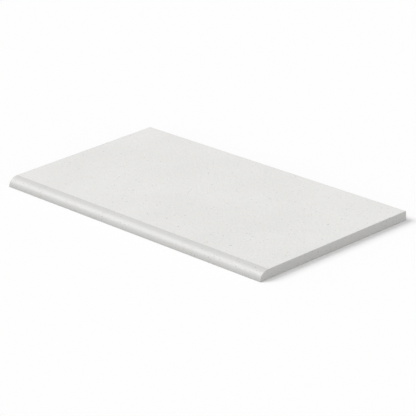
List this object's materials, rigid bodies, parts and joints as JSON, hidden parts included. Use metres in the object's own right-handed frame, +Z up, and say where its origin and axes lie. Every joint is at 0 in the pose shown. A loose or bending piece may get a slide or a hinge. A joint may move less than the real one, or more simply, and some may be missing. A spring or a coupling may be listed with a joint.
{
  "type": "stair tread tile",
  "caption": "Flat rectangular porcelain tile that caps a stair tread, with a quarter-round nosing along its front edge and a keyed underside for the adhesive bed.",
  "frame": {"origin": "middle of the rectangular outline, on the underside that lies on the bed", "axes": "+X along the nosing, +Y from the nosing at the front towards the back edge, +Z up out of the walking face"},
  "size_m": [0.6, 0.3, 0.015],
  "materials": {
    "porcelain": "satin"
  },
  "bodies": {
    "root": {"tread_tile": "porcelain"}
  },
  "joints": []
}
